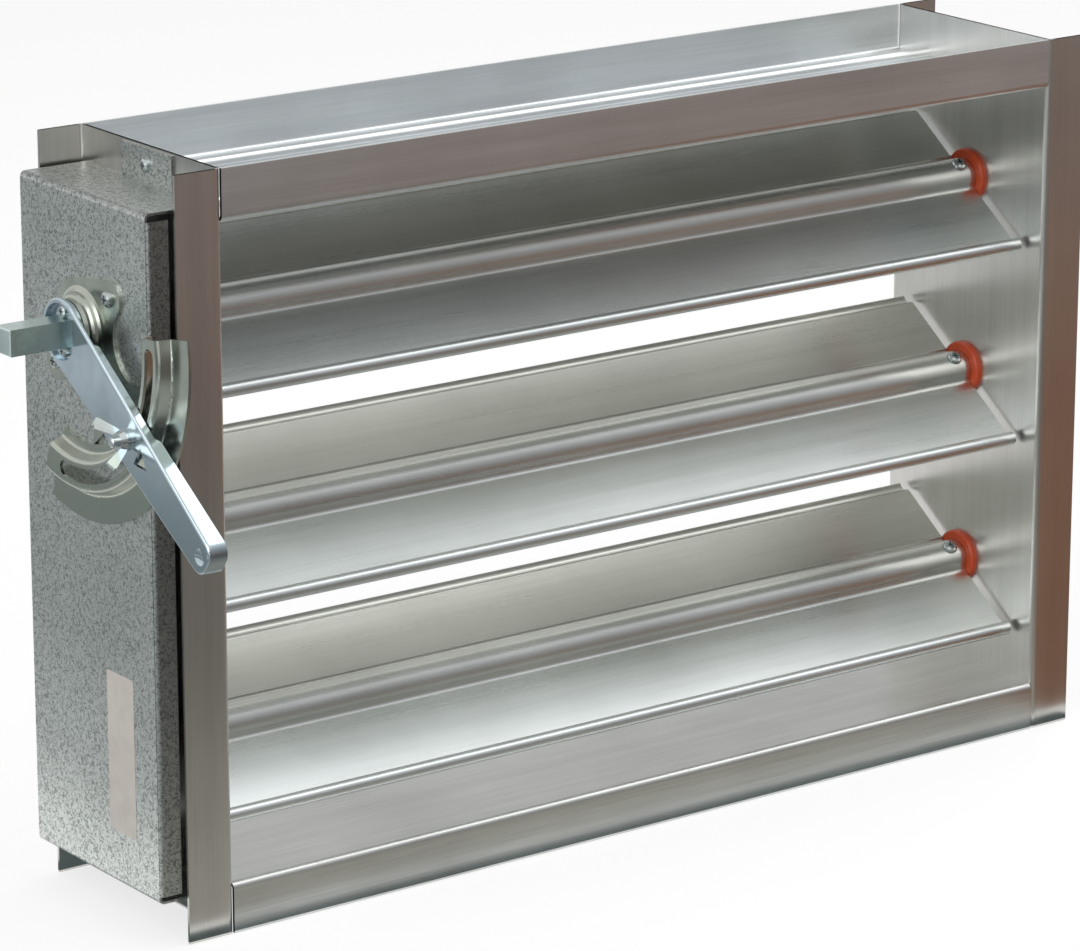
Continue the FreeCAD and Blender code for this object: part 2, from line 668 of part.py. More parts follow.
def slot_cutter():
    """The curved slot for the lock bolt."""
    inner = SLOT_RADIUS - SLOT_HALF_WIDTH
    outer = SLOT_RADIUS + SLOT_HALF_WIDTH
    corners = [at_radius(inner, 0), at_radius(outer, 0), at_radius(outer, CUT), at_radius(inner, CUT)]
    face = Part.Face(Part.makePolygon(corners + corners[:1]))
    face.rotate(ORIGIN, AXIS_X, SLOT_ANGLES[0])
    cutter = face.revolve(ORIGIN, AXIS_X, SLOT_ANGLES[1] - SLOT_ANGLES[0])
    for angle in SLOT_ANGLES:
        turn = math.radians(angle)
        y = SLOT_RADIUS * math.cos(turn)
        z = SLOT_RADIUS * math.sin(turn)
        cutter = cutter.fuse(cylinder_x(SLOT_HALF_WIDTH, 0, CUT, y, z))
    return moved(cutter, -COVER_FACE - CUT, 0, BLADE_PITCH)


def quadrant_screws():
    """The screws in the plate's ears."""
    screw = moved(pan_screw(PLATE_SCREW, 7), -COVER_FACE - PLATE_SHEET)
    return Part.makeCompound([moved(screw, 0, y, z) for y, z in ear_places()])


# Hand lever

def lever_outline(inset):
    """The lever's plan, along Y from the spindle, drawn in by an inset."""
    head = LEVER_HEAD_RADIUS - inset
    tip = LEVER_TIP_HALF_WIDTH - inset
    end = LEVER_LENGTH - inset
    corner = LEVER_TIP_CORNER - inset
    corners = [(end, -tip, corner), (end, tip, corner), (0, head, 0), (0, -head, 0)]
    return outline(corners, in_yz), head


def lever_block(inset, from_height, to_height):
    """The plan as a solid between two heights."""
    plan, head = lever_outline(inset)
    block = plan.extrude(Vec(to_height - from_height, 0, 0))
    block = block.fuse(cylinder_x(head, 0, to_height - from_height)).removeSplitter()
    return moved(block, from_height)


def lever_shell():
    """A pressed channel, with no wall round its head and walls that deepen towards the grip."""
    low = LEVER_FOOT[-1][0] - 1
    under = LEVER_FACE - LEVER_SHEET
    block = lever_block(0, low, LEVER_FACE)
    rim = [e for e in block.Edges if all(abs(v.X - LEVER_FACE) < 1e-6 for v in e.Vertexes)]
    block = block.makeFillet(LEVER_BEND, rim)
    block = block.cut(lever_block(LEVER_SHEET, low - 1, under))
    back = -LEVER_HEAD_RADIUS - 1
    wall_start = LEVER_FOOT[0][1] - LEVER_SHEET
    side = [(low - 1, back), (under, back), (under, wall_start)] + LEVER_FOOT
    side += [(low - 1, LEVER_FOOT[-1][1])]
    cutter = Part.Face(Part.makePolygon([Vec(h, u, -CUT) for h, u in side + side[:1]]))
    return block.cut(cutter.extrude(Vec(0, 0, 2 * CUT)))


def dished(shell):
    """The lever with the round seat pressed into its head, down to the hub."""
    cup = cylinder_x(DISH_OUTER, DISH_FLOOR - LEVER_SHEET, LEVER_FACE - LEVER_SHEET)
    depth = LEVER_FACE - DISH_FLOOR
    well = Part.makeCone(DISH_FLOOR_RADIUS, DISH_TOP_RADIUS, depth, Vec(DISH_FLOOR, 0, 0), AXIS_X)
    return shell.fuse(cup).removeSplitter().cut(well)


def lever():
    """The hand lever with its seat, bolt hole, pointer window, tip dimple and square bore."""
    shell = dished(lever_shell())
    shell = shell.cut(cylinder_x(BOLT_RADIUS + BOLT_GAP, 0, CUT, SLOT_RADIUS))
    start, end, half = WINDOW
    pointer = [Vec(0, start, -half), Vec(0, end, 0), Vec(0, start, half)]
    shell = shell.cut(Part.Face(Part.makePolygon(pointer + pointer[:1])).extrude(Vec(CUT, 0, 0)))
    middle = Vec(LEVER_FACE + DIMPLE_RADIUS - DIMPLE_DEPTH, DIMPLE_AT, 0)
    shell = shell.cut(Part.makeSphere(DIMPLE_RADIUS, middle))
    return spindle_fit(on_cover(shell, LEVER_ANGLE))


def spindle_fit(solid):
    """The solid with the square bore for the spindle and the holes for the two clamp screws."""
    bore = square_bar(SQUARE + 2 * SQUARE_GAP, -COVER_FACE - CUT, -COVER_FACE)
    solid = solid.cut(moved(bore, 0, 0, BLADE_PITCH))
    for y, z in clamp_screw_places():
        solid = solid.cut(cylinder_x(CLAMP_SCREW[0], -COVER_FACE - CUT, -COVER_FACE, y, z))
    return one_solid(solid)


def clamp_screw_places():
    """The Y and Z of the screws that hold the lever to its hub."""
    return [(0.0, BLADE_PITCH + CLAMP_SCREW_AT), (0.0, BLADE_PITCH - CLAMP_SCREW_AT)]


def lever_hub():
    """The square-bored disc that turns inside the plate's collar and carries the lever."""
    top = -COVER_FACE - DISH_FLOOR + LEVER_SHEET
    hub = cylinder_x(LEVER_HUB_RADIUS, top, -COVER_FACE - LEVER_HUB_FOOT, 0, BLADE_PITCH)
    return spindle_fit(hub)


def lever_clamp_screws():
    """The screws above and below the spindle."""
    screw = moved(pan_screw(CLAMP_SCREW, 8), -COVER_FACE - DISH_FLOOR)
    return Part.makeCompound([moved(screw, 0, y, z) for y, z in clamp_screw_places()])


def lock_place():
    """The Y and Z of the lock bolt's axis at the drawn lever angle."""
    angle = math.radians(LEVER_ANGLE)
    return SLOT_RADIUS * math.cos(angle), BLADE_PITCH + SLOT_RADIUS * math.sin(angle)


def at_lock(shape):
    """Stands a shape, drawn with its height along X, on the lock bolt's axis."""
    y, z = lock_place()
    placed = shape.mirror(ORIGIN, AXIS_X)
    placed.translate(Vec(-COVER_FACE, y, z))
    return placed


def lock_bolt():
    """A hexagon bolt whose head slides under the raised arc."""
    head_top = BAND_HEIGHT - PLATE_SHEET - BOLT_HEAD_GAP
    head_foot = head_top - BOLT_HEAD_HEIGHT
    across = BOLT_HEAD_FLATS / math.sqrt(3)
    turns = [math.radians(LEVER_ANGLE + 90 + 60 * i) for i in range(7)]
    corners = [Vec(head_foot, across * math.cos(t), across * math.sin(t)) for t in turns]
    head = Part.Face(Part.makePolygon(corners)).extrude(Vec(BOLT_HEAD_HEIGHT, 0, 0))
    shank_end = BOLT_TIP - BOLT_CHAMFER
    tip = Part.makeCone(BOLT_RADIUS, BOLT_RADIUS - BOLT_CHAMFER, BOLT_CHAMFER, Vec(shank_end, 0, 0), AXIS_X)
    bolt = head.fuse([cylinder_x(BOLT_RADIUS, head_top, shank_end), tip])
    return at_lock(one_solid(bolt))


def ring_on_bolt(radius, from_height, to_height):
    """A plain ring round the lock bolt."""
    ring = cylinder_x(radius, from_height, to_height)
    return at_lock(ring.cut(cylinder_x(BOLT_RADIUS + RUNNING_GAP, from_height - 1, to_height + 1)))


def slot_spacer():
    """The ring between the raised arc and the lever."""
    return ring_on_bolt(SPACER_RADIUS, BAND_HEIGHT + BOLT_HEAD_GAP, LEVER_FACE - LEVER_SHEET)


def lock_washer():
    """The washer between the lever and the wing nut."""
    return ring_on_bolt(WASHER_RADIUS, LEVER_FACE, LEVER_FACE + WASHER_SHEET)


def wing(foot):
    """One flared wing, from the nut's hub out and up."""
    rise = NUT_RIM * 0.6
    corners = [(rise, 1.0, 0), (rise, NUT_BASE_RADIUS - 0.4, 0)] + WING + [(WING[-1][0], 1.0, 0)]
    plan = outline([(foot + h, r, bend) for h, r, bend in corners], in_xy)
    return moved(plan.extrude(Vec(0, 0, WING_SHEET)), 0, 0, -WING_SHEET / 2)


def wing_nut():
    """A tapered hub with two flared wings."""
    foot = LEVER_FACE + WASHER_SHEET + NUT_GAP
    top = foot + NUT_HUB_HEIGHT
    profile = [(foot, 0), (foot, NUT_BASE_RADIUS), (foot + NUT_RIM, NUT_BASE_RADIUS)]
    profile += [(top, NUT_TOP_RADIUS), (top, 0)]
    one_wing = wing(foot)
    nut = cone_ring(profile).fuse([one_wing, turned(one_wing, 180)])
    nut = nut.cut(cylinder_x(BOLT_RADIUS + RUNNING_GAP, 0, foot + CUT))
    return at_lock(turned(one_solid(nut), WING_ANGLE))


def build_nodes():
    """Every sub-part by its node's name."""
    nodes = {
        "left_side_channel": left_side_channel(),
        "right_side_channel": right_side_channel(),
        "top_channel": top_channel(),
        "bottom_channel": bottom_channel(),
        "corner_screws": corner_screws(),
        "linkage_cover": linkage_cover(),
        "cover_screws": cover_screws(),
        "quadrant_plate": quadrant_plate(),
        "quadrant_screws": quadrant_screws(),
        "tie_bar": tie_bar(),
        "lever": lever(),
        "lever_hub": lever_hub(),
        "lever_clamp_screws": lever_clamp_screws(),
        "lock_bolt": lock_bolt(),
        "slot_spacer": slot_spacer(),
        "lock_washer": lock_washer(),
        "wing_nut": wing_nut(),
    }
    for name in axis_heights():
        left_name = "drive_spindle" if name == "top" else "left_axle_" + name
        nodes["blade_" + name] = blade(name)
        nodes["blade_screws_" + name] = blade_screws(name)
        nodes[left_name] = left_axle(name)
        nodes["right_axle_" + name] = right_axle(name)
        nodes["left_bush_" + name] = bush("left", name)
        nodes["right_bush_" + name] = bush("right", name)
        nodes["crank_" + name] = crank(name)
        nodes["crank_pin_" + name] = crank_pin(name)
        nodes["pin_clip_" + name] = pin_clip(name)
    return nodes


os.makedirs("parts", exist_ok=True)
for node_name, node_shape in build_nodes().items():
    if not node_shape.isValid():
        raise ValueError(node_name + " is not valid")
    node_shape.exportStep("parts/" + node_name + ".step")
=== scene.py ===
import bmesh
import bpy
import math
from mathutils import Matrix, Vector


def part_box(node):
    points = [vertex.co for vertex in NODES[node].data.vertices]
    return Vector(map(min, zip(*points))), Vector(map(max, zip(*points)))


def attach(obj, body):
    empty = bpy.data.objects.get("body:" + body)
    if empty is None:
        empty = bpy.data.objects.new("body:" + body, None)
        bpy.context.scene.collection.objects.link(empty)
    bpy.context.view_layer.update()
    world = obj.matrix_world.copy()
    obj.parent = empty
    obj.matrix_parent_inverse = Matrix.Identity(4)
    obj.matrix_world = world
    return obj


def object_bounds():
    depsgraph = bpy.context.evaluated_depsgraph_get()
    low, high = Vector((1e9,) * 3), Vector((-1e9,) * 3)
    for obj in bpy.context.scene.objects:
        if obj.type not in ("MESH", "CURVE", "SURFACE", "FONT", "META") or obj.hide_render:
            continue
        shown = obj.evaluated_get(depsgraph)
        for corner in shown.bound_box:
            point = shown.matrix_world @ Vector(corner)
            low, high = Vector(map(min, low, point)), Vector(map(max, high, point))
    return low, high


# Looks of the manual control damper: metal finishes, the orange bushes, the blank label on the
# linkage cover, and a white studio. Metres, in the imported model's frame.

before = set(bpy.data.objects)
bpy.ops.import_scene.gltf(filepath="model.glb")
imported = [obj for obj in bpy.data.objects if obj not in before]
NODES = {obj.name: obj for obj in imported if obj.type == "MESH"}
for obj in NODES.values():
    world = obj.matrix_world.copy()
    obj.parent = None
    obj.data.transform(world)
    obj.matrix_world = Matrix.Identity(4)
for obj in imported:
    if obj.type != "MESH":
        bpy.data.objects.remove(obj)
cad_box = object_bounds()
FLOOR = cad_box[0][2]

# Camera
CAMERA_PLACE = (-1.4508, -1.945, 0.690)
CAMERA_AZIMUTH = math.radians(-36.20)
CAMERA_ELEVATION = math.radians(16.24)
CAMERA_LENS = 168.2
CAMERA_SENSOR = 36.0

WHITE = (1, 1, 1, 1)
AXES = {"X": (1, 0, 0), "Y": (0, 1, 0), "Z": (0, 0, 1)}

# The range that holds nearly all values of a noise
NOISE_RANGE = (0.3, 0.7)

# Mill finish aluminium: light and dark tone, and the axis that the die lines follow
ALUMINIUMS = {
    "upright_aluminium": {"light": (0.72, 0.71, 0.68, 1), "dark": (0.64, 0.63, 0.60, 1), "along": "Z"},
    "top_rail_aluminium": {"light": (0.82, 0.85, 0.86, 1), "dark": (0.71, 0.74, 0.75, 1), "along": "X"},
    "low_rail_aluminium": {"light": (0.78, 0.79, 0.77, 1), "dark": (0.61, 0.62, 0.60, 1), "along": "X"},
    # The blades' front colour is a painted bluish sheen that stands in for reflected light
    "blade_aluminium": {"light": (0.73, 0.74, 0.70, 1), "dark": (0.66, 0.67, 0.63, 1), "along": "X",
                        "roughness": 0.28, "spread": 0.06, "front": (1.07, 1.11, 1.17, 1)},
}

# Die lines and bands: noise cells to a metre, drawn out along the profile, and the lines' relief
DIE_LINES = 900.0
DIE_BANDS = 120.0
DIE_STRETCH = 0.02
DIE_DEPTH = 0.0000015
DIE_RELIEF = 0.3
DIE_TONE_RANGE = (0.7, 1.3)
DIE_GLOSS_STRETCH = 0.7

# Soft stains, and the depths between which a painted bluish sheen on the front fades out
STAIN_SCALE = 9.0
STAIN_RANGE = (0.35, 0.7)
STAIN_SHADE = 0.86
SHEEN_FADE = (-0.025, 0.004)

# Hot dip galvanising: dark strokes on a light ground
GALVANISED_DARK = (0.19, 0.21, 0.20, 1)
GALVANISED_LIGHT = (0.64, 0.67, 0.65, 1)
STROKE_SCALE = 620.0
STROKE_RANGE = (0.40, 0.52)
STROKE_SHARE = 0.75
GRAIN_SCALE = 1900.0
GRAIN_SHARE = 0.3
STROKE_DEPTH = 0.00002
STROKE_ROUGHNESS = (0.42, 0.30)

# Shades of the cover: its random clouds; painted shade on its folds and top; and, by height, a painted dim
# front lip and painted light that makes the face lighter low down
CLOUD_SCALE = 11.0
CLOUD_SHADE = 0.84
FOLD_SLANT = 0.2
FOLD_PAINTED_SHADE = 0.66
TOP_PAINTED_SHADE = 0.84
LIP_FACING = (-0.9, -0.3)
LIP_HEIGHTS = (-0.17, 0.0)
LIP_PAINTED_SHADES = (0.62, 0.42)
FACE_HEIGHTS = (-0.17, -0.05)
FACE_PAINTED_LIGHT = (1.32, 1.05)

# Zinc plating and bright steel: colour and roughness
ZINCS = {
    "plate_zinc": ((0.48, 0.51, 0.45, 1), 0.2),
    "lever_zinc": ((0.52, 0.61, 0.66, 1), 0.16),
    "bright_zinc": ((0.62, 0.67, 0.67, 1), 0.18),
    "bar_steel": ((0.64, 0.75, 0.73, 1), 0.3),
    "linkage_zinc": ((0.60, 0.60, 0.56, 1), 0.3),
    "screw_zinc": ((0.50, 0.55, 0.55, 1), 0.2),
}
ZINC_CLOUD_SCALE = 40.0
ZINC_DULL = 0.82
SCRATCH_SCALE = 700.0
SCRATCH_STRETCH = (0.05, 1, 1)
SCRATCH_DEPTH = 0.00001

# Moulded plastic of the bushes
BUSH_ORANGE = (0.64, 0.075, 0.016, 1)
PLASTIC_DEEP = 0.8
PLASTIC_CLOUD_SCALE = 60.0
PLASTIC_GRAIN_SCALE = 1500.0
PLASTIC_GRAIN_DEPTH = 0.00003
PLASTIC_ROUGHNESS = (0.34, 0.46)

# Label on the lower front of the cover's face
LABEL_LENGTH = 0.079
LABEL_WIDTH = 0.0235
LABEL_CENTRE_Y = -0.024
LABEL_CENTRE_Z = -0.098
LABEL_SHEET = 0.00012
LABEL_CORNER = 0.0015
LABEL_GAP = 0.00002
PAPER_CLEAN = (0.60, 0.57, 0.52, 1)
PAPER_DIRTY = (0.52, 0.49, 0.44, 1)
DIRT_SCALE = 90.0
DIRT_RANGE = (0.35, 0.75)
FIBRE_SCALE = 2500.0
FIBRE_DEPTH = 0.00001
PAPER_ROUGHNESS = 0.5

# Floor: its size, what lights the object, and what the eye sees of it
FLOOR_RADIUS = 12.0
FLOOR_GAP = 0.0005
FLOOR_PALE = (0.75, 0.75, 0.75, 1)
FLOOR_SHADED = (0.34, 0.34, 0.34, 1)
FLOOR_GLOW = 0.72
ROOM_LIGHT = 0.45

# Level cards over the floor that glow only in the metal as painted reflections: spans along X and Y, lift,
# and the colours at two places along an axis
LEVEL_CARDS = {
    "front_card": {"x": (-1.2, 0.27), "y": (-4.0, -0.075), "lift": 0.002, "axis": "Y",
                   "near": (-0.10, (0.36, 0.35, 0.31, 1)), "far": (-0.45, (0.16, 0.15, 0.14, 1))},
    "brown_card": {"x": (0.27, 3.0), "y": (-4.0, -0.075), "lift": 0.002, "axis": "Y",
                   "near": (-0.60, (0.24, 0.13, 0.085, 1)), "far": (-1.25, (0.24, 0.19, 0.17, 1))},
    # Painted shadow: a dark card under the object, seen in the metal where the floor is shaded
    "painted_floor_shadow_card": {"x": (-0.29, 0.28), "y": (-0.07, 0.07), "lift": 0.001, "axis": "Y",
                   "near": (-0.07, (0.10, 0.13, 0.13, 1)), "far": (0.07, (0.10, 0.13, 0.13, 1))},
    "left_near_card": {"x": (-0.66, -0.36), "y": (-0.6, 2.4), "lift": 0.004, "axis": "X",
                       "near": (-0.36, (0.55, 0.56, 0.56, 1)), "far": (-0.66, (0.21, 0.25, 0.25, 1))},
    "left_far_card": {"x": (-1.03, -0.66), "y": (-0.6, 2.4), "lift": 0.004, "axis": "X",
                      "near": (-0.69, (0.21, 0.25, 0.25, 1)), "far": (-0.79, (0.68, 0.70, 0.72, 1))},
    "left_end_card": {"x": (-2.4, -1.03), "y": (-0.6, 2.8), "lift": 0.004, "axis": "X",
                      "near": (-1.03, (0.60, 0.62, 0.64, 1)), "far": (-1.10, (0.12, 0.15, 0.155, 1))},
    "rear_card": {"x": (0.28, 3.0), "y": (0.2, 4.0), "lift": 0.002, "axis": "Y",
                  "near": (0.2, (0.44, 0.44, 0.40, 1)), "far": (4.0, (0.52, 0.52, 0.48, 1))},
}

# Upright cards that glow only in the metal as painted reflections: span along X, place along Y, span in
# height, and the colours at two heights
UPRIGHT_CARDS = {
    "wall_card": {"x": (-3.5, 9.0), "y": -4.0, "z": (FLOOR + 0.002, 2.2),
                  "near": (0.2, (0.26, 0.26, 0.26, 1)), "far": (2.2, (0.46, 0.46, 0.48, 1))},
    "high_card": {"x": (1.0, 9.0), "y": -4.0, "z": (2.2, 6.0),
                  "near": (2.2, (0.46, 0.46, 0.48, 1)), "far": (5.0, (0.90, 0.90, 0.93, 1))},
    "back_card": {"x": (-1.0, 9.0), "y": 4.0, "z": (FLOOR + 0.002, 12.0),
                  "near": (0.5, (0.78, 0.78, 0.79, 1)), "far": (6.0, (0.38, 0.38, 0.35, 1))},
}

# Soft lights: place, side of the square, power, and whether the metal shows them
LIGHTS = {
    "key_light": {"spot": (-2.6, -1.2, 1.9), "size": 2.8, "power": 48.0, "in_metal": True},
    "fill_light": {"spot": (1.8, -2.6, 1.6), "size": 2.4, "power": 14.0, "in_metal": False},
    "top_light": {"spot": (1.4, 0.0, 2.0), "size": 2.2, "power": 20.0, "in_metal": True},
}


# Shader building

def connect(owner, value, socket):
    """Sets a socket to a value or a link."""
    if isinstance(value, bpy.types.NodeSocket):
        owner.node_tree.links.new(value, socket)
    else:
        socket.default_value = value


def shader(owner, kind, inputs=None, **settings):
    """A shader node with values or links for its inputs, by name or number."""
    made = owner.node_tree.nodes.new("ShaderNode" + kind)
    for name, value in settings.items():
        setattr(made, name, value)
    for name, value in (inputs or {}).items():
        connect(owner, value, made.inputs[name])
    return made


def math_of(owner, operation, a, b=0.0, clamp=False):
    """The result of one sum."""
    return shader(owner, "Math", {0: a, 1: b}, operation=operation, use_clamp=clamp).outputs[0]


def times(owner, *factors):
    """The product of values."""
    product = factors[0]
    for factor in factors[1:]:
        product = math_of(owner, "MULTIPLY", product, factor)
    return product


def remap(owner, value, span, result):
    """The value's span spread over another, clamped."""
    inputs = {"Value": value, "From Min": span[0], "From Max": span[1]}
    inputs.update({"To Min": result[0], "To Max": result[1]})
    return shader(owner, "MapRange", inputs).outputs["Result"]


def mix_colour(owner, factor, a, b, mode="MIX"):
    """Two colours mixed by a factor."""
    return shader(owner, "Mix", {0: factor, 6: a, 7: b}, data_type="RGBA", blend_type=mode).outputs[2]


def shaded(owner, base, shade):
    """A colour multiplied by a value."""
    grey = shader(owner, "CombineColor", {0: shade, 1: shade, 2: shade}).outputs[0]
    return mix_colour(owner, 1.0, base, grey, "MULTIPLY")


def darker(colour, share):
    """A colour at a share of its strength."""
    return tuple(channel * share for channel in colour[:3]) + (1,)


def place(owner, stretch=(1, 1, 1)):
    """Places on the object, multiplied along each axis."""
    coordinates = shader(owner, "TexCoord").outputs["Object"]
    return shader(owner, "Mapping", {"Vector": coordinates, "Scale": stretch}).outputs["Vector"]


def facing(owner):
    """The direction that the surface faces."""
    return shader(owner, "NewGeometry").outputs["Normal"]


def axis_of(owner, vector, axis):
    """One of a vector's three numbers."""
    return shader(owner, "SeparateXYZ", {0: vector}).outputs[axis]


def noise(owner, scale, detail=2.0, stretch=(1, 1, 1), roughness=0.55, distortion=0.0):
    """A noise value between 0 and 1, drawn out along an axis by a small stretch."""
    inputs = {"Vector": place(owner, stretch), "Scale": scale, "Detail": detail}
    inputs.update({"Roughness": roughness, "Distortion": distortion})
    return shader(owner, "TexNoise", inputs).outputs["Fac"]


def bump(owner, height, distance, strength):
    """A normal from a height, in metres."""
    return shader(owner, "Bump", {"Height": height, "Distance": distance, "Strength": strength}).outputs[0]


def bare_material(name):
    """An empty node material."""
    material = bpy.data.materials.new(name)
    material.use_nodes = True
    material.node_tree.nodes.clear()
    return material


def new_material(name, metallic=0.0):
    """A node material with its Principled shader's inputs."""
    material = bare_material(name)
    principled = shader(material, "BsdfPrincipled", {"Metallic": metallic})
    shader(material, "OutputMaterial", {"Surface": principled.outputs["BSDF"]})
    return material, principled.inputs


# Finishes

def spread_gloss(material, inputs, axis):
    """Gloss that spreads across the die lines, which run along one axis."""
    square = {0: facing(material), 1: axis}
    across = shader(material, "VectorMath", square, operation="CROSS_PRODUCT").outputs[0]
    across = shader(material, "VectorMath", {0: across}, operation="NORMALIZE").outputs[0]
    connect(material, across, inputs["Tangent"])
    connect(material, DIE_GLOSS_STRETCH, inputs["Anisotropic"])


def extruded_aluminium(name, light, dark, along, roughness=0.3, spread=0.10, front=WHITE):
    """Mill finish aluminium: die lines along the profile, soft stains and a painted sheen on the front."""
    material, inputs = new_material(name, metallic=1.0)
    spread_gloss(material, inputs, AXES[along])
    fine = tuple(DIE_STRETCH if axis == along else 1 for axis in AXES)
    lines = noise(material, DIE_LINES, stretch=fine)
    bands = noise(material, DIE_BANDS, stretch=fine)
    tone = remap(material, math_of(material, "ADD", lines, bands), DIE_TONE_RANGE, (0.0, 1.0))
    base = mix_colour(material, tone, dark, light)
    # Painted sheen: the front of the profile is multiplied by the front colour, which fades out by the
    # middle
    depth = axis_of(material, place(material), "Y")
    painted_front_sheen = mix_colour(material, remap(material, depth, SHEEN_FADE, (0.0, 1.0)), front, WHITE)
    base = mix_colour(material, 1.0, base, painted_front_sheen, "MULTIPLY")
    stain = remap(material, noise(material, STAIN_SCALE, detail=4.0), STAIN_RANGE, (STAIN_SHADE, 1.0))
    connect(material, shaded(material, base, stain), inputs["Base Color"])
    rough = math_of(material, "ADD", roughness - spread / 2, times(material, bands, spread))
    connect(material, rough, inputs["Roughness"])
    connect(material, bump(material, lines, DIE_DEPTH, DIE_RELIEF), inputs["Normal"])
    return material


def cover_clouds_and_painted_shade(material):
    """How bright the cover is: random clouds, and painted shade and light: a dim front lip, dimmer folds
    and top, and a lighter foot.
    """
    height = axis_of(material, place(material), "Z")
    cloud = remap(material, noise(material, CLOUD_SCALE, detail=3.0), NOISE_RANGE, (CLOUD_SHADE, 1.0))
    # Painted shade: the front lip is dimmer, less so low down
    lip_painted_shade = remap(material, height, LIP_HEIGHTS, LIP_PAINTED_SHADES)
    lip = remap(material, axis_of(material, facing(material), "Y"), LIP_FACING, (lip_painted_shade, 1.0))
    # Painted shade on slanted folds and on the top
    upright = axis_of(material, facing(material), "Z")
    level = times(material, upright, upright)
    slant = times(material, level, math_of(material, "SUBTRACT", 1.0, level))
    fold_painted_shade = remap(material, slant, (0.0, FOLD_SLANT), (1.0, FOLD_PAINTED_SHADE))
    top = remap(material, level, (0.5, 1.0), (1.0, TOP_PAINTED_SHADE))
    # Painted light: the cover is lighter towards its foot, as if lit from the floor
    face = remap(material, height, FACE_HEIGHTS, FACE_PAINTED_LIGHT)
    return times(material, cloud, lip, fold_painted_shade, top, face)


def galvanised_sheet(name):
    """Hot dip galvanising: fine dark strokes on a light ground."""
    material, inputs = new_material(name, metallic=0.9)
    strokes = noise(material, STROKE_SCALE, roughness=0.6, distortion=1.2)
    tone = times(material, remap(material, strokes, STROKE_RANGE, (0.0, 1.0)), STROKE_SHARE)
    grain = times(material, noise(material, GRAIN_SCALE, detail=1.0), GRAIN_SHARE)
    base = mix_colour(material, math_of(material, "ADD", tone, grain), GALVANISED_DARK, GALVANISED_LIGHT)
    # The ground's colour carries the cover's random clouds and its painted shade and light
    connect(material, shaded(material, base, cover_clouds_and_painted_shade(material)), inputs["Base Color"])
    connect(material, remap(material, strokes, (0.4, 0.6), STROKE_ROUGHNESS), inputs["Roughness"])
    connect(material, bump(material, strokes, STROKE_DEPTH, strength=0.3), inputs["Normal"])
    return material


def zinc_plate(name, colour, roughness):
    """Bright zinc plating with faint clouds and fine scratches."""
    material, inputs = new_material(name, metallic=1.0)
    cloud = noise(material, ZINC_CLOUD_SCALE, detail=3.0)
    scratches = noise(material, SCRATCH_SCALE, stretch=SCRATCH_STRETCH)
    shade = remap(material, cloud, NOISE_RANGE, (0.0, 1.0))
    base = mix_colour(material, shade, darker(colour, ZINC_DULL), colour)
    connect(material, base, inputs["Base Color"])
    rough = remap(material, cloud, NOISE_RANGE, (roughness * 1.25, roughness * 0.8))
    connect(material, rough, inputs["Roughness"])
    connect(material, bump(material, scratches, SCRATCH_DEPTH, strength=0.3), inputs["Normal"])
    return material


def moulded_plastic(name, colour):
    """Moulded plastic with a fine grain."""
    material, inputs = new_material(name)
    grain = noise(material, PLASTIC_GRAIN_SCALE)
    cloud = noise(material, PLASTIC_CLOUD_SCALE)
    base = mix_colour(material, cloud, darker(colour, PLASTIC_DEEP), colour)
    connect(material, base, inputs["Base Color"])
    connect(material, remap(material, grain, NOISE_RANGE, PLASTIC_ROUGHNESS), inputs["Roughness"])
    connect(material, bump(material, grain, PLASTIC_GRAIN_DEPTH, strength=0.4), inputs["Normal"])
    return material


def label_paper(name):
    """Off-white paper with a soft sheen and a little dirt."""
    material, inputs = new_material(name)
    dirt = remap(material, noise(material, DIRT_SCALE, detail=4.0), DIRT_RANGE, (0.0, 1.0))
    fibre = noise(material, FIBRE_SCALE)
    connect(material, mix_colour(material, dirt, PAPER_CLEAN, PAPER_DIRTY), inputs["Base Color"])
    connect(material, PAPER_ROUGHNESS, inputs["Roughness"])
    connect(material, bump(material, fibre, FIBRE_DEPTH, strength=0.4), inputs["Normal"])
    return material


def dress(nodes, material):
    """Gives CAD nodes one material."""
    for name in nodes:
        data = NODES[name].data
        data.materials.clear()
        data.materials.append(material)


def named(*starts):
    """The CAD nodes whose names start so."""
    return [name for name in sorted(NODES) if name.startswith(starts)]


def finishes():
    """Every CAD node's finish."""
    profiles = {
        "upright_aluminium": ["left_side_channel", "right_side_channel"],
        "top_rail_aluminium": ["top_channel"],
        "low_rail_aluminium": ["bottom_channel"],
        "blade_aluminium": ["blade_top", "blade_middle", "blade_bottom"],
    }
    plated = {
        "plate_zinc": ["quadrant_plate"],
        "lever_zinc": ["lever"],
        "bright_zinc": ["wing_nut", "lock_bolt", "lock_washer", "slot_spacer"],
        "bar_steel": ["drive_spindle", "lever_hub"] + named("left_axle", "right_axle"),
        "linkage_zinc": named("crank", "pin_clip", "tie_bar"),
        "screw_zinc": [name for name in sorted(NODES) if "screws" in name],
    }
    for name, nodes in profiles.items():
        dress(nodes, extruded_aluminium(name, **ALUMINIUMS[name]))
    dress(["linkage_cover"], galvanised_sheet("galvanised_sheet"))
    for name, nodes in plated.items():
        dress(nodes, zinc_plate(name, *ZINCS[name]))
    dress(named("left_bush", "right_bush"), moulded_plastic("bush_plastic", BUSH_ORANGE))


# Label

def placed(name, mesh):
    """An object in the scene for a mesh, a lamp or a camera."""
    piece = bpy.data.objects.new(name, mesh)
    bpy.context.scene.collection.objects.link(piece)
    return piece


